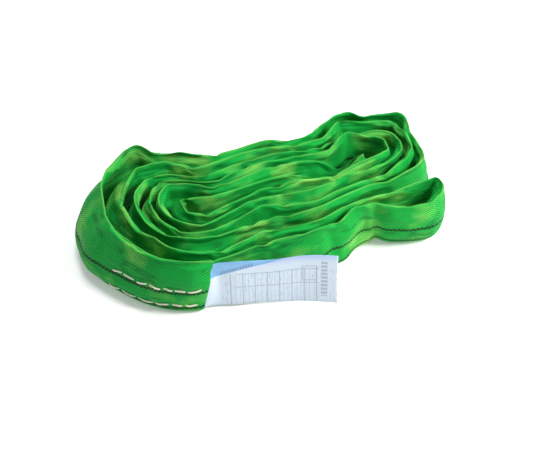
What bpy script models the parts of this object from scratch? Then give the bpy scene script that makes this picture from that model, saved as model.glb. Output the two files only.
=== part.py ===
"""Round sling, wound up for storage: an endless polyester sling laid in a flat hank on its edge.

The sling is one closed loop. For storage it is doubled, and the doubled strap is wound into three
turns, so twelve runs stand side by side on their edges. A woven sleeve covers an endless hank of
yarn. The sleeve's two ends overlap and are sewn together by two lengthwise seams, with the
identification label caught between them.
Metres, +Z up, +X along the hank, origin at the middle of the bottom.
"""
import math

import bmesh
import bpy
from mathutils import Matrix, Vector

MM = 0.001

# Driving dimensions, in metres.
SLING_LENGTH = 4.0              # once round the endless sling, so 2 m between two hooks
STRAP_HEIGHT = 56 * MM          # width of the flattened sling, which stands on its edge
STRAP_THICKNESS = 9 * MM        # across the flattened sling
SLEEVE_WALL = 1.2 * MM
GAP = 0.35 * MM                 # between pieces that touch
OVERLAP = 120 * MM              # length in which the sleeve's two ends lie over each other
RAMP = 30 * MM                  # in which a doubled end comes back to the plain size
LABEL_THICKNESS = 0.5 * MM
LABEL_HEIGHT = 53 * MM
LABEL_TAIL = 100 * MM           # sewn in between the sleeve's layers
TAIL_END = 1.2 * MM             # how far the sewn-in part comes out of the sleeve
HINGE_OUT = 1.8 * MM            # from the sleeve's open end to the line where the label bends
THREAD_RADIUS = 0.45 * MM
STITCH = 9 * MM                 # length of one visible stitch
SEAM_HEIGHTS = {"seam_thread_upper": 28 * MM, "seam_thread_lower": 9 * MM}
CORE_HEIGHT = 42 * MM
CORE_THICKNESS = 4.8 * MM
TIE_START = OVERLAP + RAMP
TIE_LENGTH = 22 * MM            # tape round the core where the yarn's two ends are made fast
TIE_WALL = 0.35 * MM
TIE_GAP = 0.15 * MM
LONGEST_STEP = 30 * MM          # between two sections of a straight run
SHARPEST_STEP = math.radians(21)  # turned between two sections of a bend

# The plan below is 3567 of its own units round, so this unit makes the loop SLING_LENGTH long.
PLAN_UNIT = SLING_LENGTH / 3567

# The middle of the sling's length, seen from above, in plan units: x along the hank, y across it.
# It starts at the sleeve's open end, runs left, and goes three times round outside in, then three
# times inside out.
ROUTE = [
    # front run 1, left bend 1, back run 12
    (-65, -56), (-79, -56.5), (-92, -52), (-109, -41), (-124, -25), (-137, -5), (-146, 17), (-147, 40),
    (-141, 63), (-128, 83), (-112, 98), (-96, 103), (-84.5, 93.5), (-72, 88.5), (-58, 81.5),
    (-43, 77), (-28, 77.5), (-6, 81), (16, 81), (36, 76), (52, 74), (67.5, 80), (83.5, 92.5), (100, 100),
    # right bend 1, front run 3, left bend 3, back run 10
    (114, 99.5), (125.5, 90.5), (139, 90), (151.5, 87), (160, 78.5), (159.5, 59), (157.5, 40), (155, 22),
    (146, 9.5), (132, 3), (116, -0.5), (99, -3), (84, -6), (68, -11), (52, -16), (34, -22),
    (14, -23), (-8, -20.5), (-28, -24), (-46, -30), (-62, -33.5), (-78, -32), (-91, -23.5),
    (-101, -9), (-109, 8), (-112.5, 27), (-110.5, 44), (-101, 58), (-89, 65.5), (-77, 67.5),
    (-66, 63.5), (-55, 57.5), (-44, 54), (-28, 55), (-8, 58.5), (14, 58.5), (34, 55.5), (52, 54),
    (68, 59.5), (84, 69),
    # right bend 3, front run 5, left bend 5, back run 8
    (99, 75.5), (112, 73), (123, 69.5), (132, 64), (137, 53), (135, 39), (128, 28), (115, 22),
    (99, 18.5), (84, 15), (68, 9.5), (52, 4), (32, -0.5), (12, -0.5), (-8, 1.5), (-28, -2),
    (-46, -8), (-60, -11), (-72, -8), (-84, 2.5), (-90, 17), (-89, 31.5), (-80, 41.5),
    (-67, 41), (-55, 35), (-44, 31.5), (-28, 32.5), (-8, 36), (14, 35.5), (34, 34), (52, 34),
    (68, 39.5), (84, 48.5),
    # inner bight, back run 7, left bend 6, front run 6
    (95, 53.5), (102, 54.5), (107.5, 52), (109.5, 46.5), (106.5, 41.5), (100, 39.5), (84, 37),
    (68, 29.5), (52, 24), (34, 22.5), (14, 24), (-8, 24.5), (-28, 21.5), (-44, 19.5), (-56, 24.5),
    (-67.5, 29.5), (-76.5, 25), (-79, 16), (-72.5, 5), (-59, 0), (-46, 3), (-28, 9), (-8, 13),
    (12, 11.5), (32, 11), (52, 14), (68, 19.5), (84, 26), (99, 29.5),
    # right bend 4, back run 9, left bend 4, front run 4
    (111, 32), (121, 37), (125.5, 47), (121.5, 57), (112, 62), (99, 65), (84, 58.5), (68, 49.5),
    (52, 44), (34, 44.5), (14, 47), (-8, 47.5), (-28, 43.5), (-44, 42.5), (-55, 46.5),
    (-66, 52), (-78, 54), (-89, 50), (-97, 39), (-99.5, 24), (-97, 8), (-88, -9), (-76, -20.5),
    (-60, -22.5), (-46, -19), (-28, -13), (-8, -9.5), (12, -12), (32, -11.5), (52, -6),
    (68, -0.5), (84, 4.5), (99, 8),
    # right bend 2, back run 11, left bend 2, front run 2
    (116, 11), (131, 16), (142, 25), (148, 39), (149.5, 55), (146, 70), (137, 78.5), (125, 80.5),
    (112, 84.5), (99, 87), (84, 79.5), (68, 69.5), (52, 64), (34, 66), (14, 70), (-8, 70),
    (-28, 66.5), (-44, 65.5), (-55, 69), (-65, 74.5), (-76, 79), (-91.5, 81), (-105, 78.5),
    (-117, 66), (-124.5, 50), (-127.5, 31.5), (-124, 13), (-115.5, -6), (-104.5, -23), (-93, -36),
    (-80, -43.5), (-63, -44.5), (-46, -41), (-28, -35.5), (-8, -32.5), (14, -35), (34, -32.5),
    (52, -26), (68, -21), (84, -17),
    # outer bight, front run 1
    (99, -14), (118, -12), (130, -12.5), (139.5, -16.5), (145, -23.5), (143.5, -34), (135.5, -41),
    (119.5, -41), (100.5, -37), (84, -29.5), (69, -32), (52, -40.5), (34, -47.5), (14, -50.5),
    (-8, -47.5), (-30, -47.5), (-52, -53),
]
MIDDLE = (6.487, 11.298)        # of the laid-out hank in the same plan

# The label's free part, from its hinge at the sleeve's end to its free edge, in the same plan.
LABEL_ROUTE = [(-49, -64), (-32, -67), (0, -75), (29, -84)]


def clear_scene():
    for existing in list(bpy.data.objects):
        bpy.data.objects.remove(existing, do_unlink=True)


def make_material(name, color, roughness, sheen=0.0):
    material = bpy.data.materials.new(name)
    material.use_nodes = True
    shader = material.node_tree.nodes["Principled BSDF"]
    shader.inputs["Base Color"].default_value = (*color, 1.0)
    shader.inputs["Roughness"].default_value = roughness
    shader.inputs["Metallic"].default_value = 0.0
    shader.inputs["Sheen Weight"].default_value = sheen
    return material


def plan_point(x, y):
    return Vector(((x - MIDDLE[0]) * PLAN_UNIT, (y - MIDDLE[1]) * PLAN_UNIT, 0.0))


def smooth_loop(points, pieces=24):
    """Points on the closed smooth curve through the given points."""
    count = len(points)
    curve = []
    for index in range(count):
        before, start, end, after = (points[(index + k) % count] for k in (-1, 0, 1, 2))
        leave = (end - before) / 2
        arrive = (after - start) / 2
        for piece in range(pieces):
            t = piece / pieces
            curve.append(
                start * (2 * t**3 - 3 * t**2 + 1) + leave * (t**3 - 2 * t**2 + t)
                + end * (3 * t**2 - 2 * t**3) + arrive * (t**3 - t**2)
            )
    return curve


class Loop:
    """The closed route, with a place and a direction at any distance along it."""

    def __init__(self, points):
        self.points = smooth_loop(points)
        self.marks = [0.0]
        for here, there in zip(self.points, self.points[1:] + self.points[:1]):
            self.marks.append(self.marks[-1] + (there - here).length)
        self.length = self.marks[-1]

    def place(self, distance):
        distance %= self.length
        low, high = 0, len(self.marks) - 1
        while high - low > 1:
            middle = (low + high) // 2
            if self.marks[middle] <= distance:
                low = middle
            else:
                high = middle
        share = (distance - self.marks[low]) / (self.marks[high] - self.marks[low])
        return self.points[low].lerp(self.points[high % len(self.points)], share)

    def direction(self, distance):
        reach = 1.5 * MM
        return (self.place(distance + reach) - self.place(distance - reach)).normalized()

    def stations(self, fixed):
        """Distances for sections: close in bends, far apart on runs, with some fixed ones."""
        fine = 2 * MM
        chosen = [0.0]
        distance = 0.0
        turned = 0.0
        while distance < self.length - fine:
            following = distance + fine
            turned += self.direction(distance).angle(self.direction(following), 0.0)
            crossed = [mark for mark in fixed if distance < mark <= following]
            if crossed:
                chosen.append(crossed[0])
                turned = 0.0
            elif turned > SHARPEST_STEP or following - chosen[-1] > LONGEST_STEP:
                chosen.append(following)
                turned = 0.0
            distance = following
        if self.length - chosen[-1] < 6 * MM:
            chosen.pop()
        return chosen


def section_frame(loop, distance, thickness, height, bottom, shift=0.0):
    """Matrix that puts the unit section on the route: its x is outwards, its y is up."""
    along = loop.direction(distance)
    outward = Vector((0, 0, 1)).cross(along)
    middle = loop.place(distance) + outward * shift
    middle.z = bottom + height / 2
    turned = Matrix((outward, Vector((0, 0, 1)), along)).transposed().to_4x4()
    return Matrix.Translation(middle) @ turned @ Matrix.Diagonal((thickness, height, thickness, 1))


def unit_section(corner_across, corner_up):
    """A slab one wide and one high, its four corners cut, in order round it."""
    half = 0.5
    inner_x = half - corner_across
    inner_y = half - corner_up
    return [
        (half, -inner_y), (half, inner_y), (inner_x, half), (-inner_x, half),
        (-half, inner_y), (-half, -inner_y), (-inner_x, -half), (inner_x, -half),
    ]


def sweep(name, section, frames, closed, material):
    """Extrude a section through the frames, and either join its ends or cap them."""
    mesh_edit = bmesh.new()
    corners = [mesh_edit.verts.new(frames[0] @ Vector((x, y, 0.0))) for x, y in section]
    ring = [mesh_edit.edges.new(pair) for pair in zip(corners, corners[1:] + corners[:1])]
    first_ring = list(ring)
    for before, after in zip(frames, frames[1:]):
        extruded = bmesh.ops.extrude_edge_only(mesh_edit, edges=ring)["geom"]
        moved = [item for item in extruded if isinstance(item, bmesh.types.BMVert)]
        new_edges = [item for item in extruded if isinstance(item, bmesh.types.BMEdge)]
        bmesh.ops.transform(mesh_edit, matrix=after @ before.inverted(), verts=moved)
        ring = [edge for edge in new_edges if all(corner in moved for corner in edge.verts)]
    if closed == "joined":
        bmesh.ops.bridge_loops(mesh_edit, edges=ring + first_ring)
    elif closed == "capped":
        bmesh.ops.edgeloop_fill(mesh_edit, edges=ring)
        bmesh.ops.edgeloop_fill(mesh_edit, edges=first_ring)
    bmesh.ops.recalc_face_normals(mesh_edit, faces=mesh_edit.faces)
    mesh = bpy.data.meshes.new(name)
    mesh_edit.to_mesh(mesh)
    mesh_edit.free()
    mesh.materials.append(material)
    mesh.shade_smooth()
    mesh.set_sharp_from_angle(angle=math.radians(40))
    piece = bpy.data.objects.new(name, mesh)
    bpy.context.collection.objects.link(piece)
    return piece


def eased(distance, start, end):
    """0 before start, 1 after end, and smooth between them."""
    share = min(max((distance - start) / (end - start), 0.0), 1.0)
    return share * share * (3 - 2 * share)


# Layers of the sewn overlap, measured outwards from the strap's middle.
TAIL_SPACE = LABEL_THICKNESS + 2 * GAP
OUTER_SIDE = STRAP_THICKNESS / 2 + TAIL_SPACE + SLEEVE_WALL
INNER_SIDE = STRAP_THICKNESS / 2 + GAP + SLEEVE_WALL
LIFT = SLEEVE_WALL + GAP


def sleeve_frames(loop, stations):
    """The outer end with room for the inner one, once round, then the inner end inside it."""
    frames = []
    for distance in stations:
        doubled = 1 - eased(distance, OVERLAP, OVERLAP + RAMP)
        lifted = eased(distance, loop.length - RAMP, loop.length - 4 * MM)
        thickness = STRAP_THICKNESS + doubled * (OUTER_SIDE + INNER_SIDE - STRAP_THICKNESS)
        height = STRAP_HEIGHT + doubled * 2 * LIFT
        shift = doubled * (OUTER_SIDE - INNER_SIDE) / 2
        frames.append(section_frame(loop, distance, thickness, height, lifted * LIFT, shift))
    for distance in stations:
        if distance <= OVERLAP:
            frames.append(section_frame(loop, distance, STRAP_THICKNESS, STRAP_HEIGHT, LIFT))
    return frames


def make_sleeve(loop, stations, material):
    sleeve = sweep("sleeve", unit_section(0.32, 0.02), sleeve_frames(loop, stations), "open", material)
    wall = sleeve.modifiers.new("Wall", "SOLIDIFY")
    wall.thickness = SLEEVE_WALL
    wall.offset = -1
    wall.use_even_offset = True
    return sleeve


def make_core(loop, stations, material):
    bottom = LIFT + (STRAP_HEIGHT - CORE_HEIGHT) / 2
    frames = [section_frame(loop, d, CORE_THICKNESS, CORE_HEIGHT, bottom) for d in stations]
    return sweep("core_hank", unit_section(0.3, 0.08), frames, "joined", material)


def make_core_tie(loop, stations, material):
    """A band of tape round the core, just past the overlap, drawn as a short open tube."""
    bottom = LIFT + (STRAP_HEIGHT - CORE_HEIGHT) / 2 - TIE_WALL - TIE_GAP
    marks = [mark for mark in stations if TIE_START <= mark <= TIE_START + TIE_LENGTH]
    extra = 2 * (TIE_WALL + TIE_GAP)
    frames = [
        section_frame(loop, d, CORE_THICKNESS + extra, CORE_HEIGHT + extra, bottom) for d in marks
    ]
    tie = sweep("core_yarn_tie", unit_section(0.3, 0.08), frames, "open", material)
    wall = tie.modifiers.new("Wall", "SOLIDIFY")
    wall.thickness = TIE_WALL
    wall.offset = -1
    wall.use_even_offset = True
    return tie


def along_facets(loop, stations, distance, side, height):
    """A point level with the flat facet that the sections either side of a distance span."""
    marks = [stations[-1] - loop.length] + stations
    ends = [mark for mark in marks if mark <= distance][-1:]
    ends += [mark for mark in marks if mark > distance][:1]
    corners = [section_frame(loop, mark, 1, 1, 0, side).translation for mark in ends]
    share = (distance - ends[0]) / (ends[1] - ends[0])
    point = corners[0].lerp(corners[1], share)
    point.z = height
    return point


def make_thread(name, loop, stations, height, material):
    """One sewing thread: long stitches, each dipping a little at its ends and slanted."""
    slant = 0.35 * MM
    rise = 0.25 * MM
    side = OUTER_SIDE + GAP + THREAD_RADIUS
    curve = bpy.data.curves.new(name, "CURVE")
    curve.dimensions = "3D"
    curve.bevel_depth = THREAD_RADIUS
    curve.bevel_resolution = 1
    curve.use_fill_caps = True
    stitches = int(OVERLAP / STITCH) - 2
    places = []
    for stitch in range(stitches):
        start = STITCH * (0.6 + stitch)
        for share, out, up in ((0.0, 0.0, 0.0), (0.2, 1.0, -1.0), (0.8, 1.0, 1.0)):
            places.append((start + share * STITCH, side + out * rise, height + up * slant))
    spline = curve.splines.new("POLY")
    spline.points.add(len(places) - 1)
    for point, (distance, out, up) in zip(spline.points, places):
        point.co = (*along_facets(loop, stations, distance, out, up), 1.0)
    curve.materials.append(material)
    thread = bpy.data.objects.new(name, curve)
    bpy.context.collection.objects.link(thread)
    return thread


def make_label_tail(loop, stations, material):
    side = STRAP_THICKNESS / 2 + GAP + LABEL_THICKNESS / 2
    bottom = LIFT + (STRAP_HEIGHT - LABEL_HEIGHT) / 2
    marks = [-TAIL_END] + [d for d in stations if d < LABEL_TAIL - 5 * MM] + [LABEL_TAIL]
    square = [(0.5, -0.5), (0.5, 0.5), (-0.5, 0.5), (-0.5, -0.5)]
    frames = []
    for distance in marks:
        frame = section_frame(loop, distance, LABEL_THICKNESS, LABEL_HEIGHT, bottom, side)
        place = along_facets(loop, stations, distance, side, bottom + LABEL_HEIGHT / 2)
        frame.translation = place
        frames.append(frame)
    return sweep("label_tail", square, frames, "capped", material)


def make_label_flap(loop, material):
    """The label's free part. Its hinge is upright, just outside the sleeve's open end."""
    side = STRAP_THICKNESS / 2 + GAP + LABEL_THICKNESS / 2
    bottom = LIFT + (STRAP_HEIGHT - LABEL_HEIGHT) / 2
    hinge = section_frame(loop, -HINGE_OUT, 1, 1, 0, side).translation
    hinge.z = 0.0
    points = [Vector((0, 0, 0))] + [plan_point(x, y) - hinge for x, y in LABEL_ROUTE]
    square = [(0.5, -0.5), (0.5, 0.5), (-0.5, 0.5), (-0.5, -0.5)]
    frames = []
    for index, point in enumerate(points):
        ahead = points[min(index + 1, len(points) - 1)]
        behind = points[max(index - 1, 0)]
        along = (ahead - behind).normalized()
        across = Vector((0, 0, 1)).cross(along)
        start = along * GAP if index == 0 else Vector((0, 0, 0))
        middle = point + start + Vector((0, 0, bottom + LABEL_HEIGHT / 2))
        turned = Matrix((across, Vector((0, 0, 1)), along)).transposed().to_4x4()
        size = Matrix.Diagonal((LABEL_THICKNESS, LABEL_HEIGHT, 1, 1))
        frames.append(Matrix.Translation(middle) @ turned @ size)
    flap = sweep("label_flap", square, frames, "capped", material)
    flap.location = hinge
    return flap


def main():
    clear_scene()
    green = make_material("Green polyester weave", (0.02, 0.33, 0.035), 0.78, sheen=0.25)
    yarn = make_material("Raw polyester yarn", (0.82, 0.80, 0.74), 0.85)
    thread = make_material("Cream sewing thread", (0.86, 0.83, 0.66), 0.6)
    label = make_material("Printed label cloth", (0.74, 0.79, 0.90), 0.55)
    tape = make_material("Binding tape", (0.72, 0.66, 0.50), 0.5)

    loop = Loop([plan_point(x, y) for x, y in ROUTE])
    stations = loop.stations([OVERLAP, TIE_START, TIE_START + TIE_LENGTH])
    make_sleeve(loop, stations, green)
    make_core(loop, stations, yarn)
    make_core_tie(loop, stations, tape)
    for name, height in SEAM_HEIGHTS.items():
        make_thread(name, loop, stations, height, thread)
    make_label_tail(loop, stations, label)
    make_label_flap(loop, label)


main()
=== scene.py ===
"""The looks of a wound-up polyester round sling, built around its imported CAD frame."""
import math

import bmesh
import bpy
import numpy as np
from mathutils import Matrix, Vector


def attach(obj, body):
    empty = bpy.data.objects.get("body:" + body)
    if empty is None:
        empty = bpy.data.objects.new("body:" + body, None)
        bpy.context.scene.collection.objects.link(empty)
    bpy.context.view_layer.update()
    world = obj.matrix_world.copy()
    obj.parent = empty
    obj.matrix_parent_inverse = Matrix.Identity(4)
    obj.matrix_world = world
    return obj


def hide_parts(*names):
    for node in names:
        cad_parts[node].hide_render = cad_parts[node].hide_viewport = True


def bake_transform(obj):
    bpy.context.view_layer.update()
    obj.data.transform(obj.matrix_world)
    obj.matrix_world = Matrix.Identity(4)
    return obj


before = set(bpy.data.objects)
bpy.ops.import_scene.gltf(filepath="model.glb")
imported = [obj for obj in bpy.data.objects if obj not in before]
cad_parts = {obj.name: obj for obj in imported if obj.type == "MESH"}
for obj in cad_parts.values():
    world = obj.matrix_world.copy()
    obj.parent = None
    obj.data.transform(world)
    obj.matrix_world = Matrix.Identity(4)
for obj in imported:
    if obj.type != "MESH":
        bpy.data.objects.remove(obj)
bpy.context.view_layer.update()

# --- Camera -----------------------------------------------------------------------------------
# A normal lens looks down on the hank from its front left, about as a person standing over it
# would. It aims a little to the left and front of the hank's middle.
AIM = Vector((-0.0073, -0.0126, 0.0226))
CAMERA_TURN = math.radians(-18)
CAMERA_RISE = math.radians(42)
CAMERA_DISTANCE = 0.729
LENS = 50

back_to_camera = Vector((
    math.sin(CAMERA_TURN) * math.cos(CAMERA_RISE),
    -math.cos(CAMERA_TURN) * math.cos(CAMERA_RISE),
    math.sin(CAMERA_RISE),
))
camera_data = bpy.data.cameras.new("camera")
camera_data.lens = LENS
camera_data.clip_end = 20
camera = bpy.data.objects.new("camera", camera_data)
camera.location = AIM + back_to_camera * CAMERA_DISTANCE
camera.rotation_mode = "QUATERNION"
camera.rotation_quaternion = (-back_to_camera).to_track_quat("-Z", "Y")
bpy.context.collection.objects.link(camera)
bpy.context.scene.camera = camera

# --- Route of the sling ------------------------------------------------------------------------
# The middle line of the sling's 4 m, seen from above, in plan units: three turns round outside
# in, then three inside out. It starts at the open end of the sleeve's outer layer.
SLING_LENGTH = 4.0
PLAN_LENGTH = 3567  # the route's own length in plan units
PLAN_UNIT = SLING_LENGTH / PLAN_LENGTH
MIDDLE = (6.487, 11.298)  # of the laid-out hank, which stands over the frame's origin
ROUTE = [
    # front run 1, left bend 1, back run 12
    (-65, -56), (-79, -56.5), (-92, -52), (-109, -41), (-124, -25), (-137, -5), (-146, 17), (-147, 40),
    (-141, 63), (-128, 83), (-112, 98), (-96, 103), (-84.5, 93.5), (-72, 88.5), (-58, 81.5),
    (-43, 77), (-28, 77.5), (-6, 81), (16, 81), (36, 76), (52, 74), (67.5, 80), (83.5, 92.5), (100, 100),
    # right bend 1, front run 3, left bend 3, back run 10
    (114, 99.5), (125.5, 90.5), (139, 90), (151.5, 87), (160, 78.5), (159.5, 59), (157.5, 40), (155, 22),
    (146, 9.5), (132, 3), (116, -0.5), (99, -3), (84, -6), (68, -11), (52, -16), (34, -22),
    (14, -23), (-8, -20.5), (-28, -24), (-46, -30), (-62, -33.5), (-78, -32), (-91, -23.5),
    (-101, -9), (-109, 8), (-112.5, 27), (-110.5, 44), (-101, 58), (-89, 65.5), (-77, 67.5),
    (-66, 63.5), (-55, 57.5), (-44, 54), (-28, 55), (-8, 58.5), (14, 58.5), (34, 55.5), (52, 54),
    (68, 59.5), (84, 69),
    # right bend 3, front run 5, left bend 5, back run 8
    (99, 75.5), (112, 73), (123, 69.5), (132, 64), (137, 53), (135, 39), (128, 28), (115, 22),
    (99, 18.5), (84, 15), (68, 9.5), (52, 4), (32, -0.5), (12, -0.5), (-8, 1.5), (-28, -2),
    (-46, -8), (-60, -11), (-72, -8), (-84, 2.5), (-90, 17), (-89, 31.5), (-80, 41.5),
    (-67, 41), (-55, 35), (-44, 31.5), (-28, 32.5), (-8, 36), (14, 35.5), (34, 34), (52, 34),
    (68, 39.5), (84, 48.5),
    # inner bight, back run 7, left bend 6, front run 6
    (95, 53.5), (102, 54.5), (107.5, 52), (109.5, 46.5), (106.5, 41.5), (100, 39.5), (84, 37),
    (68, 29.5), (52, 24), (34, 22.5), (14, 24), (-8, 24.5), (-28, 21.5), (-44, 19.5), (-56, 24.5),
    (-67.5, 29.5), (-76.5, 25), (-79, 16), (-72.5, 5), (-59, 0), (-46, 3), (-28, 9), (-8, 13),
    (12, 11.5), (32, 11), (52, 14), (68, 19.5), (84, 26), (99, 29.5),
    # right bend 4, back run 9, left bend 4, front run 4
    (111, 32), (121, 37), (125.5, 47), (121.5, 57), (112, 62), (99, 65), (84, 58.5), (68, 49.5),
    (52, 44), (34, 44.5), (14, 47), (-8, 47.5), (-28, 43.5), (-44, 42.5), (-55, 46.5),
    (-66, 52), (-78, 54), (-89, 50), (-97, 39), (-99.5, 24), (-97, 8), (-88, -9), (-76, -20.5),
    (-60, -22.5), (-46, -19), (-28, -13), (-8, -9.5), (12, -12), (32, -11.5), (52, -6),
    (68, -0.5), (84, 4.5), (99, 8),
    # right bend 2, back run 11, left bend 2, front run 2
    (116, 11), (131, 16), (142, 25), (148, 39), (149.5, 55), (146, 70), (137, 78.5), (125, 80.5),
    (112, 84.5), (99, 87), (84, 79.5), (68, 69.5), (52, 64), (34, 66), (14, 70), (-8, 70),
    (-28, 66.5), (-44, 65.5), (-55, 69), (-65, 74.5), (-76, 79), (-91.5, 81), (-105, 78.5),
    (-117, 66), (-124.5, 50), (-127.5, 31.5), (-124, 13), (-115.5, -6), (-104.5, -23), (-93, -36),
    (-80, -43.5), (-63, -44.5), (-46, -41), (-28, -35.5), (-8, -32.5), (14, -35), (34, -32.5),
    (52, -26), (68, -21), (84, -17),
    # outer bight, front run 1
    (99, -14), (118, -12), (130, -12.5), (139.5, -16.5), (145, -23.5), (143.5, -34), (135.5, -41),
    (119.5, -41), (100.5, -37), (84, -29.5), (69, -32), (52, -40.5), (34, -47.5), (14, -50.5),
    (-8, -47.5), (-30, -47.5), (-52, -53),
]


def plan_place(x, y):
    """A place of the plan, in metres from the frame's origin."""
    return ((x - MIDDLE[0]) * PLAN_UNIT, (y - MIDDLE[1]) * PLAN_UNIT)


class RoundLoop:
    """The closed route as a smooth curve, read by distance along it."""

    def __init__(self, points, pieces=24):
        given = np.array(points)
        t = (np.arange(pieces) / pieces)[None, :, None]
        start, end = given[:, None], np.roll(given, -1, 0)[:, None]
        leave = (end - np.roll(given, 1, 0)[:, None]) / 2
        arrive = (np.roll(given, -2, 0)[:, None] - start) / 2
        curve = (start * (2 * t**3 - 3 * t**2 + 1) + leave * (t**3 - 2 * t**2 + t)
                 + end * (3 * t**2 - 2 * t**3) + arrive * (t**3 - t**2)).reshape(-1, 2)
        steps = np.linalg.norm(np.roll(curve, -1, 0) - curve, axis=1)
        self.marks = np.concatenate([[0.0], np.cumsum(steps)])
        self.curve = np.vstack([curve, curve[:1]])
        self.length = float(self.marks[-1])
        self.point_marks = self.marks[:-1].reshape(len(given), pieces)[:, 0]

    def place(self, distance):
        """Where the middle line is, at a distance along it from the mouth."""
        distance = np.mod(distance, self.length)
        return np.stack([np.interp(distance, self.marks, self.curve[:, k]) for k in (0, 1)], -1)

    def direction(self, distance, reach=0.002):
        """Which way the middle line runs there, as a unit vector."""
        way = self.place(distance + reach) - self.place(distance - reach)
        return way / np.linalg.norm(way, axis=-1, keepdims=True)


loop = RoundLoop([plan_place(x, y) for x, y in ROUTE])

# --- Sleeve ------------------------------------------------------------------------------------
# A woven polyester tube, 58 mm wide when flat, drawn over the core. It lies on its edge, so its
# two fold lines run along the top and the bottom. Its outer end is a cut edge, turned in, over
# the inner end, and two dark marker yarns are woven along its outward face.
STRAP_HEIGHT = 0.056
STRAP_THICKNESS = 0.0105
OVERLAP = 0.120  # how far the outer end laps over the inner one
RAMP = 0.030  # over which the strap grows from one layer to two
LAYER = 0.0016
TAIL_SIDE = 0.0012
FLOOR_GAP = 0.0004
MOUTH_SLANT = 0.014
LEAN_FOOT = 0.40  # the share of the height that a lean turns about
SLUMP_MIDDLE = (-0.075, 0.018)
ROWS = 850  # sections along the sleeve
AROUND = 28  # columns round it, from the top fold
SEAM_COLUMNS = {"upper": 7, "lower": 10}
SEAM_ROOM = (0.004, 0.104)  # from the mouth, where the stitches lie
SEAM_GROOVE = 0.0009
SETTLING_FRAMES = 20
# Upright creases: route point, share of the way to the next, reach along the strap, step.
KINKS = [
    (208, 0.1, 0.008, 0.0022), (213, 0.4, 0.009, 0.0013), (210, 0.5, 0.012, -0.0015),
    (205, 0.2, 0.012, 0.0015),
]
# Where the strap bulges up or slumps: route point, share of the way to the next, reach, height.
STANDS = [
    (11, 0.15, 0.022, 0.0095), (12, 0.35, 0.016, -0.0035), (96, 0.2, 0.027, -0.023),
    (103, 0.9, 0.028, -0.024), (24, 0.2, 0.02, 0.002), (28, 0.0, 0.012, 0.004),
    (131, 0.4, 0.024, 0.0065), (168, 0.0, 0.020, 0.005), (64, 0.1, 0.020, -0.005),
    (14, 0.2, 0.030, 0.0035),
]


def smooth_noise(distance, wavelength, seed, period):
    """Seeded noise between about -1 and 1 that repeats after a period, smooth along it."""
    count = max(int(round(period / wavelength)), 4)
    knots = np.random.default_rng(seed).uniform(-1, 1, count)
    at = np.mod(distance / period * count, count)
    low = np.floor(at).astype(int) % count
    t = at - np.floor(at)
    k = [knots[(low + shift) % count] for shift in (-1, 0, 1, 2)]
    return (k[1] * (2 * t**3 - 3 * t**2 + 1) + (k[2] - k[0]) / 2 * (t**3 - 2 * t**2 + t)
            + k[2] * (3 * t**2 - 2 * t**3) + (k[3] - k[1]) / 2 * (t**3 - t**2))


def eased(value, start, end):
    """0 up to the start, 1 from the end on, smooth between them."""
    share = np.clip((value - start) / (end - start), 0.0, 1.0)
    return share * share * (3 - 2 * share)


def near(value, middle, reach):
    """1 at the middle, falling smoothly to 0 past its reach."""
    return np.exp(-((value - middle) / reach) ** 2)


def lean_field(x, y):
    """How far the strap's top edge leans over its bottom edge at a place, in metres."""
    wave = 2 * math.pi / 0.16
    dx = 0.0025 * np.sin(wave * y + 1.0) + 0.003 * np.sin(wave * 0.6 * x + 2.0)
    dy = 0.004 * np.sin(wave * x + 0.6) + 0.003 * np.sin(wave * 0.45 * (x - y) + 2.2)
    dx = dx + 0.010 * near(x, -0.185, 0.060)
    dx = dx + 0.011 * near(x, 0.165, 0.035) * near(y, -0.045, 0.035)
    dy = dy + 0.007 * near(x, -0.065, 0.038) * near(y, 0.085, 0.030)
    return dx, dy


def slump(x, y, up):
    """How far the strap slumps over at the left bends: out at mid height and in at the top."""
    way_x, way_y = SLUMP_MIDDLE[0] - x, SLUMP_MIDDLE[1] - y
    reach = np.maximum(np.hypot(way_x, way_y), 0.02)
    bent = -0.006 - 0.029 * up + 0.048 * up**2
    bent = bent * eased(reach, 0.050, 0.085) * near(x, -0.170, 0.065) * near(y, 0.035, 0.060)
    return way_x / reach * bent, way_y / reach * bent


def kinks(at):
    """How far the strap steps outward and back at its upright creases."""
    marks = loop.point_marks
    step = 0 * at
    for first, share, reach, size in KINKS:
        off = (at - marks[first] - share * (marks[first + 1] - marks[first])) / reach
        step = step + size * off * np.exp(0.5 - off**2)
    return step


def edge_height(at):
    """How much taller or lower than its width the strap stands, where it bulges or slumps."""
    marks = loop.point_marks
    extra = 0.0022 * smooth_noise(at, 0.09, 11, loop.length)
    extra = extra + 0.0014 * smooth_noise(at, 0.036, 13, loop.length)
    for first, share, reach, more in STANDS:
        middle = marks[first] + share * (marks[first + 1] - marks[first])
        extra = extra + more * near(at, middle, reach)
    return extra


def crease_depth(at, angle):
    """How far the lengthwise folds of the loose cloth stand out, round and along the strap."""
    drift = 2.5 * smooth_noise(at, 0.22, 41, loop.length)
    folds = 0.0013 * smooth_noise(at, 0.11, 21, loop.length) * np.sin(4 * angle + drift)
    folds = folds + 0.0010 * smooth_noise(at, 0.08, 22, loop.length) * np.sin(7 * angle - 1.6 * drift)
    return folds + 0.0008 * smooth_noise(at, 0.03, 23, loop.length) * np.sin(3 * angle + 2 * drift)


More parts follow.
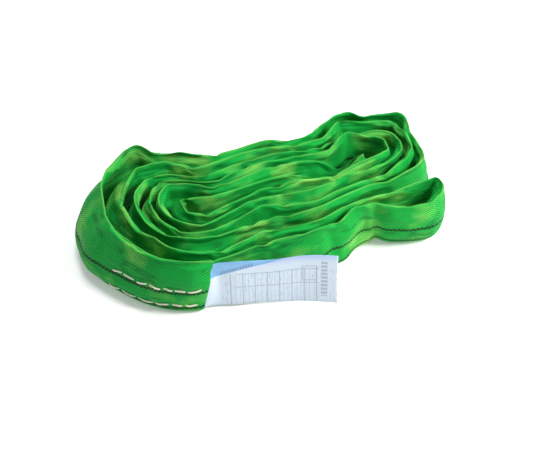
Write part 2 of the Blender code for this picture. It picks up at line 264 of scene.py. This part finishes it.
def sleeve_shape(distance, around):
    """Points of the sleeve: distance is along the sling, around from 0 at the top fold to 1."""
    total = loop.length
    at = np.mod(distance, total)
    angle = 2 * np.pi * around
    up = 0.5 + 0.5 * np.cos(angle)
    slant = MOUTH_SLANT * (1 - up) * (1 - eased(distance, 0.0, 0.06))
    place = loop.place(distance + slant)
    along = loop.direction(distance + slant)
    outward = np.stack([-along[..., 1], along[..., 0]], -1)
    first = distance < total
    doubled = np.where(first, 1 - eased(distance, OVERLAP, OVERLAP + RAMP), 0.0)
    lifted = np.where(first, eased(distance, total - RAMP, total), 1.0)
    height = STRAP_HEIGHT + edge_height(at) - 0.0015 * lifted
    height = height + doubled * 2 * LAYER
    thickness = STRAP_THICKNESS * (1 + 0.22 * smooth_noise(at, 0.07, 12, total))
    thickness = thickness * (1 - 0.25 * lifted) + doubled * (2 * LAYER)
    side = doubled * TAIL_SIDE / 2
    bottom = FLOOR_GAP + lifted * LAYER
    sharp = 0.5 + 0.6 * eased(up, 0.35, 1.0)
    across = np.sign(np.sin(angle)) * np.abs(np.sin(angle)) ** (2 * sharp) * (1.14 - 0.3 * up) / 2
    loose = 1 - 0.7 * doubled - 0.3 * lifted
    crumple = near(place[..., 0], -0.115, 0.045) + near(place[..., 0], 0.130, 0.035)
    folds = crease_depth(at, angle) * loose * (1 + 1.1 * crumple)
    sideways = side + kinks(at) + across * thickness + folds * np.abs(np.sin(angle))
    z = bottom + up * height
    x = place[..., 0] + outward[..., 0] * sideways
    y = place[..., 1] + outward[..., 1] * sideways
    lean_x, lean_y = lean_field(place[..., 0], place[..., 1])
    lean = up - LEAN_FOOT
    wander = 0.0036 * smooth_noise(at, 0.07, 31, total) + 0.0018 * smooth_noise(at, 0.033, 32, total)
    wander = wander * (up - 0.3) * (1 + 0.6 * crumple * loose)
    slump_x, slump_y = slump(place[..., 0], place[..., 1], up)
    x = x + lean_x * lean + slump_x + outward[..., 0] * wander
    y = y + lean_y * lean + slump_y + outward[..., 1] * wander
    return np.stack([x, y, z], -1)


def object_from(edit, name):
    """A smooth-shaded object in the scene, from a finished bmesh."""
    mesh = bpy.data.meshes.new(name)
    edit.to_mesh(mesh)
    edit.free()
    mesh.shade_smooth()
    piece = bpy.data.objects.new(name, mesh)
    bpy.context.collection.objects.link(piece)
    return piece


def add_tube(edit, start, end, rows, around, girth, shape, repeats=False):
    """A grid whose rows are sections of a tube and whose columns run along it, rolled and closed."""
    grid_uv = edit.loops.layers.uv.get("UVMap") or edit.loops.layers.uv.new("UVMap")
    place_mark = edit.verts.layers.int.get("mark") or edit.verts.layers.int.new("mark")
    new = bmesh.ops.create_grid(edit, x_segments=rows, y_segments=around, size=0.5, calc_uvs=True)
    flat = np.array([vert.co for vert in new["verts"]]) + 0.5
    places = shape(start + flat[:, 0] * (end - start), flat[:, 1])
    for vert, share, place in zip(new["verts"], flat, places):
        vert[place_mark] = round(share[0] * rows) * (around + 1) + round(share[1] * around)
        vert.co = place
    for face in {face for vert in new["verts"] for face in vert.link_faces}:
        for corner in face.loops:
            corner[grid_uv].uv.x *= end - start
            corner[grid_uv].uv.y = girth(corner[grid_uv].uv.y)
    ends = [new["verts"]] if repeats else [
        [vert for vert in new["verts"] if vert[place_mark] // (around + 1) == row]
        for row in range(rows + 1)]
    for group in ends:
        bmesh.ops.remove_doubles(edit, verts=group, dist=1e-6)


def across_strap(share):
    """How far round the flattened tube a place is, in metres, from its top fold."""
    drop = (1 - math.cos(2 * math.pi * share)) / 2
    return STRAP_HEIGHT * (drop if share <= 0.5 else 2 - drop)


def make_tube(name, start, end, rows, around, girth, shape):
    """One tube as a piece of its own; where its ends meet, they are joined."""
    edit = bmesh.new()
    add_tube(edit, start, end, rows, around, girth, shape, repeats=True)
    bmesh.ops.recalc_face_normals(edit, faces=edit.faces)
    return object_from(edit, name)


def settle(cloth_piece, frames):
    """Lets the cover settle as loose cloth, with the runs pressing on each other and the floor."""
    ground_edit = bmesh.new()
    bmesh.ops.create_grid(ground_edit, x_segments=8, y_segments=8, size=0.5)
    ground = object_from(ground_edit, "settling_ground")
    ground.modifiers.new("Collision", "COLLISION")
    ground.collision.thickness_outer = 0.0005
    soft = cloth_piece.modifiers.new("Cloth", "CLOTH")
    settings = soft.settings
    settings.quality = 6
    settings.time_scale = 0.35
    settings.mass = 0.02
    settings.air_damping = 3
    settings.bending_model = "ANGULAR"
    settings.tension_stiffness = 12
    settings.compression_stiffness = 12
    settings.shear_stiffness = 4
    settings.bending_stiffness = 0.1
    settings.tension_damping = 4
    settings.compression_damping = 4
    settings.shear_damping = 4
    settings.bending_damping = 0.5
    settings.shrink_min = -0.03
    settings.use_pressure = True
    settings.uniform_pressure_force = 0.3
    settings.effector_weights.gravity = 0.3
    held = cloth_piece.vertex_groups.new(name="held")
    held.add([vert.index for vert in cloth_piece.data.vertices], 0.25, "REPLACE")
    settings.vertex_group_mass = "held"
    settings.pin_stiffness = 0.4
    soft.collision_settings.collision_quality = 3
    soft.collision_settings.distance_min = 0.0005
    soft.collision_settings.use_self_collision = True
    soft.collision_settings.self_distance_min = 0.0008
    soft.collision_settings.self_friction = 5
    scene = bpy.context.scene
    soft.point_cache.frame_start = 1
    soft.point_cache.frame_end = frames
    for number in range(1, frames + 1):
        scene.frame_set(number)
    settled = bpy.data.meshes.new_from_object(
        cloth_piece.evaluated_get(bpy.context.evaluated_depsgraph_get()))
    cloth_piece.modifiers.clear()
    cloth_piece.data = settled
    bpy.data.objects.remove(ground)
    scene.frame_set(1)


sleeve_end = loop.length + OVERLAP
sleeve = make_tube("sleeve_cover", 0.0, sleeve_end, ROWS, AROUND, across_strap, sleeve_shape)
settle(sleeve, SETTLING_FRAMES)

sleeve_edit = bmesh.new()
sleeve_edit.from_mesh(sleeve.data)
mark_layer = sleeve_edit.verts.layers.int["mark"]
cover = np.zeros((ROWS + 1, AROUND + 1, 3))
for vert in sleeve_edit.verts:
    row, column = divmod(vert[mark_layer], AROUND + 1)
    if SEAM_ROOM[0] < row / ROWS * sleeve_end < SEAM_ROOM[1] and column in SEAM_COLUMNS.values():
        way = loop.direction(row / ROWS * sleeve_end)
        vert.co -= Vector((-way[1], way[0], 0)) * SEAM_GROOVE
    cover[row, column] = vert.co
# Rolling the tube joined its first and last columns, so the lost one is filled in from the other.
left_column = 0 if abs(cover[:, 0]).sum() > 0 else AROUND
cover[:, AROUND - left_column] = cover[:, left_column]
# The cut edge at the mouth is turned in: back over the cloth's thickness, then down inside.
mouth = [edge for edge in sleeve_edit.edges if edge.is_boundary
         and edge.verts[0][mark_layer] <= AROUND and edge.verts[1][mark_layer] <= AROUND]
mouth_middle = Vector(cover[0].mean(0))
for inward, deeper in ((0.0009, 0.0), (0.0001, 0.007)):
    new = bmesh.ops.extrude_edge_only(sleeve_edit, edges=mouth)["geom"]
    mouth = [item for item in new if isinstance(item, bmesh.types.BMEdge)
             and all(len(vert.link_faces) == 2 for vert in item.verts) and item.is_boundary]
    way = loop.direction(0.0)
    for vert in {vert for edge in mouth for vert in edge.verts}:
        inside = mouth_middle - vert.co
        side_way = Vector((-way[1], way[0], 0))
        vert.co += side_way * math.copysign(inward, inside.dot(side_way))
        vert.co.z += math.copysign(inward, inside.z)
        vert.co += Vector((way[0], way[1], 0)) * deeper
bmesh.ops.recalc_face_normals(sleeve_edit, faces=sleeve_edit.faces)
sleeve_edit.to_mesh(sleeve.data)
sleeve_edit.free()
finer = sleeve.modifiers.new("Finer", "SUBSURF")
finer.levels = 1
finer.render_levels = 1


class Finish:
    """A Principled material, with short ways to add and join its pattern's nodes."""

    def __init__(self, name, color, roughness):
        self.material = bpy.data.materials.new(name)
        self.material.use_nodes = True
        self.tree = self.material.node_tree
        self.shader = self.tree.nodes["Principled BSDF"]
        self.shader.inputs["Base Color"].default_value = (*color, 1)
        self.shader.inputs["Roughness"].default_value = roughness

    def node(self, kind, **links):
        """A node of the pattern, with its inputs fed by name."""
        node = self.tree.nodes.new(kind)
        for name, value in links.items():
            self.feed(node.inputs[name.replace("_", " ")], value)
        return node

    def feed(self, socket, value):
        """Links a socket, or sets it to a plain value."""
        if isinstance(value, bpy.types.NodeSocket):
            self.tree.links.new(value, socket)
        else:
            socket.default_value = value

    def maths(self, operation, *values, clamp=False):
        """The output of one Math node."""
        node = self.tree.nodes.new("ShaderNodeMath")
        node.operation = operation
        node.use_clamp = clamp
        for socket, value in zip(node.inputs, values):
            self.feed(socket, value)
        return node.outputs[0]

    def places(self):
        """Along and across the cloth, in metres, from its own UV map."""
        uv = self.tree.nodes.new("ShaderNodeUVMap")
        uv.uv_map = "UVMap"
        parts = self.node("ShaderNodeSeparateXYZ", Vector=uv.outputs["UV"])
        return uv.outputs["UV"], parts.outputs["X"], parts.outputs["Y"]

    def colors(self, factor, low, high):
        """A mix of two colours, or of two colour outputs."""
        mix = self.tree.nodes.new("ShaderNodeMix")
        mix.data_type = "RGBA"
        self.feed(mix.inputs["Factor"], factor)
        for socket, value in ((mix.inputs[6], low), (mix.inputs[7], high)):
            self.feed(socket, value if isinstance(value, bpy.types.NodeSocket) else (*value, 1))
        return mix.outputs[2]

    def band(self, value, middle, half, soft):
        """1 near the middle of a stripe, falling to 0 at half its width."""
        off = self.maths("ABSOLUTE", self.maths("SUBTRACT", value, middle))
        edge = self.maths("SUBTRACT", half, off)
        return self.maths("DIVIDE", edge, soft, clamp=True)

    def bump(self, height, distance, strength=1.0, over=None):
        """Raises the surface by a pattern, over another bump where one is given."""
        bump = self.node("ShaderNodeBump", Height=height, Distance=distance, Strength=strength)
        if over is not None:
            self.feed(bump.inputs["Normal"], over)
        self.feed(self.shader.inputs["Normal"], bump.outputs["Normal"])
        return bump.outputs["Normal"]


WEAVE_PITCH = 0.0025
MARKER_DROPS = (0.0318, 0.0492)  # how far below the top fold each marker yarn runs
MARKER_HALF = 0.0015
green = Finish("green polyester weave", (0.012, 0.30, 0.03), 0.62)
green.shader.inputs["Sheen Weight"].default_value = 0.03
green.shader.inputs["Sheen Roughness"].default_value = 0.35
green.shader.inputs["Sheen Tint"].default_value = (0.75, 1.0, 0.35, 1)
green.shader.inputs["Specular IOR Level"].default_value = 0.12
uv_place, u, v = green.places()
warp = green.maths("SINE", green.maths("MULTIPLY", u, 2 * math.pi / WEAVE_PITCH))
weft = green.maths("SINE", green.maths("MULTIPLY", v, 2 * math.pi / WEAVE_PITCH))
weave = green.maths("MULTIPLY_ADD", green.maths("MULTIPLY", warp, weft), 0.5, 0.5)
highlight_patches = green.node("ShaderNodeTexNoise", Vector=uv_place, Scale=22.0, Detail=3.0)
object_place = green.tree.nodes.new("ShaderNodeTexCoord").outputs["Object"]
broad = green.node("ShaderNodeTexNoise", Vector=object_place, Scale=9.0, Detail=2.0)
tint = green.colors(broad.outputs["Fac"], (0.0, 0.42, 0.058), (0.012, 0.55, 0.055))
# Painted shade: the gaps between the yarns are coloured darker than the yarn tops, on top of the weave's
# bump.
weave_with_painted_shade = green.colors(weave, (0.0, 0.13, 0.022), tint)
crease_place = green.node("ShaderNodeMapping", Vector=uv_place, Scale=(16.0, 75.0, 1.0))
crease_noise = green.node("ShaderNodeTexNoise", Vector=crease_place.outputs["Vector"], Scale=1.0,
                          Detail=2.5)
creases = green.maths("PINGPONG", green.maths("MULTIPLY", crease_noise.outputs["Fac"], 2.6), 0.5)
# Painted highlight: yellow-green patches on the yarn tops, strongest on the ridges of the crease pattern.
painted_highlight = green.maths("SUBTRACT", highlight_patches.outputs["Fac"], 0.49)
painted_highlight = green.maths("MULTIPLY", green.maths("MULTIPLY", painted_highlight, 6.0, clamp=True), weave)
painted_highlight = green.maths("MULTIPLY", painted_highlight, green.maths("MULTIPLY_ADD", creases, 1.6, 0.05, clamp=True))
# Painted highlight: a thin, patchy bright line along the top fold, joined to the other painted highlight.
top_folds = green.maths("PINGPONG", v, STRAP_HEIGHT)
fold_painted_highlight = green.maths("MULTIPLY", green.band(top_folds, 0.0, 0.0013, 0.0010), 0.3)
fold_painted_highlight = green.maths("MULTIPLY", fold_painted_highlight, highlight_patches.outputs["Fac"])
painted_highlight = green.maths("MAXIMUM", painted_highlight, fold_painted_highlight)
# Painted shade: dark green lines along the bottoms of the crease pattern, where the folds would lie in
# shade.
crease_painted_shade = green.maths("MULTIPLY", green.band(creases, 0.0, 0.10, 0.10), 0.6)
weave_with_painted_shade = green.colors(crease_painted_shade, weave_with_painted_shade, (0.0, 0.11, 0.02))
# The yellow-green painted highlight is mixed in here, over the painted shade.
weave_with_painted_light = green.colors(painted_highlight, weave_with_painted_shade, (0.42, 0.90, 0.17))
zigzag = green.maths("MULTIPLY", green.maths("PINGPONG", u, 0.0021), 0.5)
height_in_zigzag = green.maths("ADD", v, zigzag)
marker_lines = [green.band(height_in_zigzag, drop, MARKER_HALF, 0.0004) for drop in MARKER_DROPS]
both_markers = green.maths("ADD", *marker_lines, clamp=True)
chain = green.maths("MULTIPLY_ADD", green.maths("PINGPONG", u, 0.0017), 150.0, 0.75, clamp=True)
marked = green.maths("MULTIPLY", both_markers, chain)
green.feed(green.shader.inputs["Base Color"], green.colors(marked, weave_with_painted_light, (0.004, 0.022, 0.006)))
crease_bump = green.bump(creases, 0.004, 0.8)
green.bump(weave, 0.0006, 0.9, over=crease_bump)
sleeve.data.materials.append(green.material)
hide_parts("sleeve")
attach(sleeve, "sling")

# --- Core --------------------------------------------------------------------------------------
# The load-bearing core: a flat hank of cream polyester yarn, wound round and round without an
# end. It runs the whole way inside the sleeve and is sewn to nothing.
CORE_HALF = 0.0016  # half its thickness
CORE_TOP = 0.13  # where its edges lie on the sleeve's face, as shares of the way round
CORE_BOTTOM = 0.38


def cover_place(distance, around):
    """A place on the settled sleeve, read between its rows and columns."""
    row = np.clip(distance / sleeve_end * ROWS, 0, ROWS - 1e-6)
    column = np.clip(around * AROUND, 0, AROUND - 1e-6)
    low_row, low_column = row.astype(int), column.astype(int)
    s, t = (row - low_row)[..., None], (column - low_column)[..., None]
    this_row = cover[low_row, low_column] * (1 - t) + cover[low_row, low_column + 1] * t
    next_row = cover[low_row + 1, low_column] * (1 - t) + cover[low_row + 1, low_column + 1] * t
    return this_row * (1 - s) + next_row * s


def core_shape(distance, around, half=CORE_HALF, spread=0.0):
    """A flat section midway between the sleeve's two faces, inside its inner end at the overlap."""
    angle = 2 * np.pi * around
    middle, reach = (CORE_TOP + CORE_BOTTOM) / 2, (CORE_BOTTOM - CORE_TOP) / 2 + spread
    down = middle - reach * np.cos(angle)
    inner = np.where(distance < OVERLAP, distance + loop.length, distance)
    outer_share = eased(distance, OVERLAP - 0.03, OVERLAP - 0.001)[..., None]
    sides = []
    for face in (down, 1 - down):
        inside = cover_place(inner, face)
        outside = cover_place(distance, face)
        sides.append(np.where((distance < OVERLAP)[..., None],
                              inside * (1 - outer_share) + outside * outer_share, outside))
    gap = sides[0] - sides[1]
    width = np.linalg.norm(gap, axis=-1, keepdims=True)
    thick = np.minimum(half, 0.22 * width) / np.maximum(width, 1e-6)
    return (sides[0] + sides[1]) / 2 + gap * thick * np.sin(angle)[..., None]


core = make_tube("core_yarn_hank", 0.0, loop.length, ROWS, 12, across_strap, core_shape)
yarn = Finish("cream polyester yarn", (0.72, 0.68, 0.56), 0.6)
yarn.shader.inputs["Sheen Weight"].default_value = 0.2
yarn_place = yarn.places()[0]
long_way = yarn.node("ShaderNodeMapping", Vector=yarn_place, Scale=(40.0, 900.0, 1.0))
filaments = yarn.node("ShaderNodeTexNoise", Vector=long_way.outputs["Vector"], Scale=1.0, Detail=3.0)
yarn.feed(yarn.shader.inputs["Base Color"],
          yarn.colors(filaments.outputs["Fac"], (0.42, 0.38, 0.28), (0.85, 0.82, 0.72)))
yarn.bump(filaments.outputs["Fac"], 0.0005)
core.data.materials.append(yarn.material)
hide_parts("core_hank")
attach(core, "sling")

# --- Core tie ----------------------------------------------------------------------------------
# A short wrap of white tape, wound tightly round the core just past the overlap. It holds down
# the yarn's two ends.
TIE_START = OVERLAP + RAMP
TIE_LENGTH = 0.022
TAPE_TURN = 0.0055
TAPE_THREAD = 0.0007


def tie_shape(distance, around):
    """The core's own section, a little thicker and wider."""
    return core_shape(distance, around, CORE_HALF + 0.0005, 0.008)


tie = make_tube("core_tie_wrap", TIE_START, TIE_START + TIE_LENGTH, 10, 16, across_strap, tie_shape)
tape = Finish("white tie tape", (0.75, 0.74, 0.70), 0.7)
tape_u = tape.places()[1]
turns = tape.maths("SINE", tape.maths("MULTIPLY", tape_u, 2 * math.pi / TAPE_TURN))
threads = tape.maths("SINE", tape.maths("MULTIPLY", tape_u, 2 * math.pi / TAPE_THREAD))
tape.feed(tape.shader.inputs["Base Color"],
          tape.colors(tape.maths("MULTIPLY_ADD", turns, 0.5, 0.5), (0.5, 0.49, 0.45), (0.8, 0.79, 0.75)))
tape.bump(tape.maths("MULTIPLY_ADD", threads, 0.25, turns), 0.0003)
tie.data.materials.append(tape.material)
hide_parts("core_yarn_tie")
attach(tie, "sling")

# --- Closing seams -----------------------------------------------------------------------------
# Two rows of long hand stitches in heavy cream thread close the sleeve's overlap and hold the
# label's end. Each stitch dips through the cloth at both ends and lies proud between them.
THREAD_RADIUS = 0.00078
STITCH_RISE = 0.0023
STITCH_SINK = 0.0012
STITCH_ROWS = {
    "upper": {"pitch": 0.0128, "length": 0.0126, "seed": 5, "node": "seam_thread_upper"},
    "lower": {"pitch": 0.0160, "length": 0.0150, "seed": 6, "node": "seam_thread_lower"},
}
cream = Finish("cream sewing thread", (0.80, 0.76, 0.60), 0.55)
cream.shader.inputs["Sheen Weight"].default_value = 0.15
_, cream_u, cream_v = cream.places()
ply = cream.maths("SINE", cream.maths("ADD", cream.maths("MULTIPLY", cream_u, 3600.0),
                                      cream.maths("MULTIPLY", cream_v, 3300.0)))
cream.feed(cream.shader.inputs["Base Color"],
           cream.colors(cream.maths("MULTIPLY_ADD", ply, 0.5, 0.5), (0.66, 0.63, 0.42), (0.96, 0.95, 0.80)))
cream.bump(ply, 0.0002)


def around_thread(share):
    """How far round the thread a place is, in metres."""
    return share * 2 * math.pi * THREAD_RADIUS


def stitch_shape(start, end, column, tilt):
    """One stitch's tube: it follows the sleeve's face, proud in the middle and sunk at its ends."""
    face = column / AROUND

    def shape(distance, around):
        share = (distance - start) / (end - start)
        height = face + tilt * (share - 0.5) / STRAP_HEIGHT
        here = cover_place(distance, height)
        ahead = cover_place(distance + 0.002, height) - here
        down = cover_place(distance, height + 0.02) - here
        out = np.cross(ahead, down)
        flat_out = np.stack([-loop.direction(distance)[..., 1], loop.direction(distance)[..., 0],
                             0 * distance], -1)
        out = out * np.sign((out * flat_out).sum(-1, keepdims=True))
        out = out / np.linalg.norm(out, axis=-1, keepdims=True)
        down = down / np.linalg.norm(down, axis=-1, keepdims=True)
        round_end = np.sqrt(np.clip(1 - (2 * share - 1) ** 8, 0, 1))[..., None]
        arch = np.clip(np.sin(np.pi * share), 0, 1) ** 0.35
        proud = (STITCH_RISE * arch - STITCH_SINK)[..., None]
        turn = 2 * np.pi * around[..., None]
        ring = (down * np.cos(turn) + out * np.sin(turn)) * THREAD_RADIUS * round_end
        return here + out * proud + ring

    return shape


for name, seam in STITCH_ROWS.items():
    chance = np.random.default_rng(seam["seed"])
    seam_edit = bmesh.new()
    start = SEAM_ROOM[0] + 0.002
    while start + seam["length"] < SEAM_ROOM[1]:
        end = start + seam["length"] * chance.uniform(0.85, 1.0)
        shape = stitch_shape(start, end, SEAM_COLUMNS[name], chance.uniform(-0.0007, 0.0007))
        add_tube(seam_edit, start, end, 18, 8, around_thread, shape)
        start += seam["pitch"]
    bmesh.ops.recalc_face_normals(seam_edit, faces=seam_edit.faces)
    stitches = object_from(seam_edit, f"seam_{name}_stitches")
    stitches.data.materials.append(cream.material)
    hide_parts(seam["node"])
    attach(stitches, "sling")

# --- Label -------------------------------------------------------------------------------------
# One strip of coated cloth, 53 mm wide and about 208 mm long. 100 mm of it is sewn in between the
# sleeve's layers, and the rest hangs out of the mouth and swings about the line where it leaves.
LABEL_WIDTH = 0.053
LABEL_TAIL = 0.100
LABEL_BOTTOM = 0.003  # the height of its lower edge
LABEL_THICKNESS = 0.0004
HINGE_OUT = 0.0018  # how far out of the mouth the swing line is
FLAP_START = LABEL_TAIL + HINGE_OUT
HINGE = (-0.07755, -0.08024)
LABEL_ROUTE = [(-49, -64), (-32, -67), (0, -75), (29, -84)]
flap_points = np.array([HINGE] + [plan_place(x, y) for x, y in LABEL_ROUTE])
flap_steps = np.concatenate([[0], np.cumsum(np.linalg.norm(np.diff(flap_points, axis=0), axis=1))])
label_length = FLAP_START + flap_steps[-1]


def label_place(along, across):
    """Points of the strip: along from its sewn-in end, across from its lower edge, in metres."""
    inside = np.maximum(LABEL_TAIL - along, 0.0)
    face = 0.5 - np.arccos(np.clip(1 - 2 * (across + 0.0008) / STRAP_HEIGHT, -1, 1)) / (2 * np.pi)
    face = np.clip(face, 0.03, 0.47)
    outer = cover_place(inside, face)
    inner = cover_place(inside + loop.length, face)
    tail = inner * 0.5 + outer * 0.5
    out = along - FLAP_START
    flap = np.stack([np.interp(out, flap_steps, flap_points[:, k]) for k in (0, 1)]
                    + [LABEL_BOTTOM + across], -1)
    share = np.clip(out / flap_steps[-1], 0, 1)
    sag = np.sin(share * 9.0 + 0.6) * (across / LABEL_WIDTH) * 0.0009
    flap[..., 2] += sag * np.minimum(share * 6, 1)
    flap[..., 1] -= 0.0012 * np.sin(share * 7.0) * share
    flap[..., 1] += 0.0016 * share * np.sin(across / LABEL_WIDTH * 3.0)
    flap[..., 1] += share**2 * (0.0070 * across / LABEL_WIDTH - 0.0040)
    blend = eased(along, LABEL_TAIL - 0.0005, LABEL_TAIL + 0.0030)[..., None]
    return tail * (1 - blend) + flap * blend


label_edit = bmesh.new()
label_uv = label_edit.loops.layers.uv.new("UVMap")
bmesh.ops.create_grid(label_edit, x_segments=140, y_segments=16, size=0.5, calc_uvs=True)
label_flat = np.array([vert.co for vert in label_edit.verts]) + 0.5
label_flat = label_flat[:, :2] * (label_length, LABEL_WIDTH)
for vert, place in zip(label_edit.verts, label_place(label_flat[:, 0], label_flat[:, 1])):
    vert.co = place
for face in label_edit.faces:
    for corner in face.loops:
        corner[label_uv].uv.x *= label_length
        corner[label_uv].uv.y *= LABEL_WIDTH
bmesh.ops.recalc_face_normals(label_edit, faces=label_edit.faces)
bmesh.ops.solidify(label_edit, geom=label_edit.faces[:], thickness=LABEL_THICKNESS)
label = object_from(label_edit, "label_strip")

# Its print is made up: a blue corner with ticks, a ruled table with a box, faint rows, and a
# column of bars near the free end.
COLUMN_PITCH = 0.011
CLOSE_PITCH = 0.0039
ROW_HEIGHTS = (0.0375, 0.0215)
BOX_MIDDLE = (0.0815, 0.0325)
BOX_HALF = (0.0066, 0.0086)
BOX_LINE = 0.0006
BAR_COLUMN = 0.0945
BAR_PITCH = 0.0042
BAND_DEPTH = 0.0160
BAND_SLOPE = 0.27
TICK_PITCH = 0.0024
THREAD_PITCH = 0.0006
card = Finish("coated label cloth", (0.66, 0.74, 0.83), 0.45)
card_place, card_u, card_v = card.places()
flap_u = card.maths("SUBTRACT", card_u, FLAP_START)
columns = card.maths("PINGPONG", flap_u, COLUMN_PITCH / 2)
column_lines = card.maths("DIVIDE", card.maths("SUBTRACT", 0.00045, columns), 0.0003, clamp=True)
close_columns = card.maths("PINGPONG", flap_u, CLOSE_PITCH / 2)
close_lines = card.maths("DIVIDE", card.maths("SUBTRACT", 0.0004, close_columns), 0.0003, clamp=True)
column_lines = card.maths("MAXIMUM", column_lines, card.maths("MULTIPLY", close_lines, 0.45))
table = card.maths("MULTIPLY", card.band(card_v, 0.019, 0.0195, 0.0003),
                   card.band(flap_u, 0.0465, 0.0425, 0.0003))
row_lines = card.maths("ADD", *[card.band(card_v, height, 0.0004, 0.0002) for height in ROW_HEIGHTS],
                       clamp=True)
row_lines = card.maths("MULTIPLY", row_lines, card.band(flap_u, 0.053, 0.037, 0.0003))
lines = card.maths("MAXIMUM", card.maths("MULTIPLY", column_lines, table), row_lines)
box_fills = [card.maths("MULTIPLY", card.band(flap_u, BOX_MIDDLE[0], BOX_HALF[0] - inset, 0.0002),
                        card.band(card_v, BOX_MIDDLE[1], BOX_HALF[1] - inset, 0.0002))
             for inset in (0.0, BOX_LINE)]
lines = card.maths("MAXIMUM", lines, card.maths("SUBTRACT", *box_fills))
stretched = card.node("ShaderNodeMapping", Vector=card_place, Scale=(900.0, 160.0, 1.0))
smudges = card.node("ShaderNodeTexNoise", Vector=stretched.outputs["Vector"], Scale=1.0, Detail=1.0)
small_bars = card.maths("DIVIDE", card.maths("SUBTRACT", smudges.outputs["Fac"], 0.50), 0.1,
                        clamp=True)
small_rows = card.maths("GREATER_THAN", card.maths("PINGPONG", flap_u, 0.0013), 0.0007)
fine_print = card.maths("MULTIPLY", card.maths("MULTIPLY", small_bars, small_rows),
                        card.band(card_v, 0.022, 0.019, 0.002))
bar_gaps = card.maths("GREATER_THAN", card.maths("PINGPONG", card_v, BAR_PITCH / 2), 0.0007)
bar_column = card.maths("MULTIPLY", card.band(flap_u, BAR_COLUMN, 0.0030, 0.0003),
                        card.band(card_v, 0.0265, 0.0200, 0.0005))
bars = card.maths("MULTIPLY", bar_gaps, bar_column)
printed = card.maths("MAXIMUM", card.maths("MULTIPLY", lines, 0.7),
                     card.maths("MAXIMUM", card.maths("MULTIPLY", fine_print, 0.32),
                                card.maths("MULTIPLY", bars, 0.50)))
on_flap = card.maths("GREATER_THAN", flap_u, 0.002)
band_edge = card.maths("MULTIPLY_ADD", flap_u, BAND_SLOPE, LABEL_WIDTH - BAND_DEPTH)
above_edge = card.maths("SUBTRACT", card_v, band_edge)
ticks = card.maths("GREATER_THAN", card.maths("PINGPONG", flap_u, TICK_PITCH / 2), 0.0005)
ticks = card.maths("MULTIPLY", ticks, card.band(above_edge, 0.0028, 0.0021, 0.0003))
ticks = card.maths("MULTIPLY", ticks, card.band(flap_u, 0.0175, 0.0145, 0.0003))
printed = card.maths("MAXIMUM", printed, card.maths("MULTIPLY", ticks, 0.7))
blue_band = card.maths("DIVIDE", above_edge, 0.001, clamp=True)
top_tint = card.maths("DIVIDE", card.maths("SUBTRACT", card_v, LABEL_WIDTH - 0.008), 0.010,
                      clamp=True)
blue_shade = card.node("ShaderNodeTexNoise", Vector=card_place, Scale=60.0, Detail=2.0)
cloth_tone = card.colors(blue_shade.outputs["Fac"], (0.52, 0.60, 0.73), (0.575, 0.67, 0.73))
tinted = card.colors(top_tint, cloth_tone, (0.30, 0.42, 0.72))
band_blue = card.colors(blue_shade.outputs["Fac"], (0.12, 0.32, 0.62), (0.26, 0.52, 0.76))
deep_blue = card.maths("MULTIPLY", card.maths("SUBTRACT", 0.0065, above_edge), 90.0, clamp=True)
band_blue = card.colors(deep_blue, band_blue, (0.09, 0.27, 0.56))
with_band = card.colors(blue_band, tinted, band_blue)
with_ink = card.colors(card.maths("MULTIPLY", printed, on_flap), with_band, (0.13, 0.17, 0.28))
card.feed(card.shader.inputs["Base Color"], with_ink)
fine_u = card.maths("SINE", card.maths("MULTIPLY", card_u, 2 * math.pi / THREAD_PITCH))
fine_v = card.maths("SINE", card.maths("MULTIPLY", card_v, 2 * math.pi / THREAD_PITCH))
card.bump(card.maths("MULTIPLY", fine_u, fine_v), 0.00008, 0.5)
label.data.materials.append(card.material)
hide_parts("label_tail", "label_flap")
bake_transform(label)

# --- Floor and light ---------------------------------------------------------------------------
# A pale floor under the sling, faintly lit of its own so that shadows on it stay soft, and light
# from two round panels overhead. Neither belongs to the object.
floor_edit = bmesh.new()
bmesh.ops.create_grid(floor_edit, x_segments=2, y_segments=2, size=3)
floor = object_from(floor_edit, "floor")
pale = Finish("pale floor", (0.9, 0.9, 0.9), 0.8)
pale.shader.inputs["Emission Color"].default_value = (1, 1, 1, 1)
pale.shader.inputs["Emission Strength"].default_value = 0.22
floor.data.materials.append(pale.material)


def panel_light(name, place, size, power, color):
    """A round panel that shines at the middle of the floor."""
    lamp_data = bpy.data.lights.new(name, "AREA")
    lamp_data.shape = "DISK"
    lamp_data.size = size
    lamp_data.energy = power
    lamp_data.color = color
    lamp = bpy.data.objects.new(name, lamp_data)
    lamp.location = place
    lamp.rotation_euler = (-Vector(place)).to_track_quat("-Z", "Y").to_euler()
    bpy.context.collection.objects.link(lamp)


panel_light("key_panel", (0.85, -0.50, 0.85), 0.5, 22, (1.0, 1.0, 0.96))
panel_light("top_panel", (0.0, 0.3, 1.2), 0.5, 9, (1.0, 1.0, 1.0))
world = bpy.data.worlds.new("studio")
world.use_nodes = True
world.node_tree.nodes["Background"].inputs["Color"].default_value = (0.96, 0.98, 1.0, 1)
world.node_tree.nodes["Background"].inputs["Strength"].default_value = 0.38
bpy.context.scene.world = world
bpy.context.scene.view_settings.view_transform = "Standard"
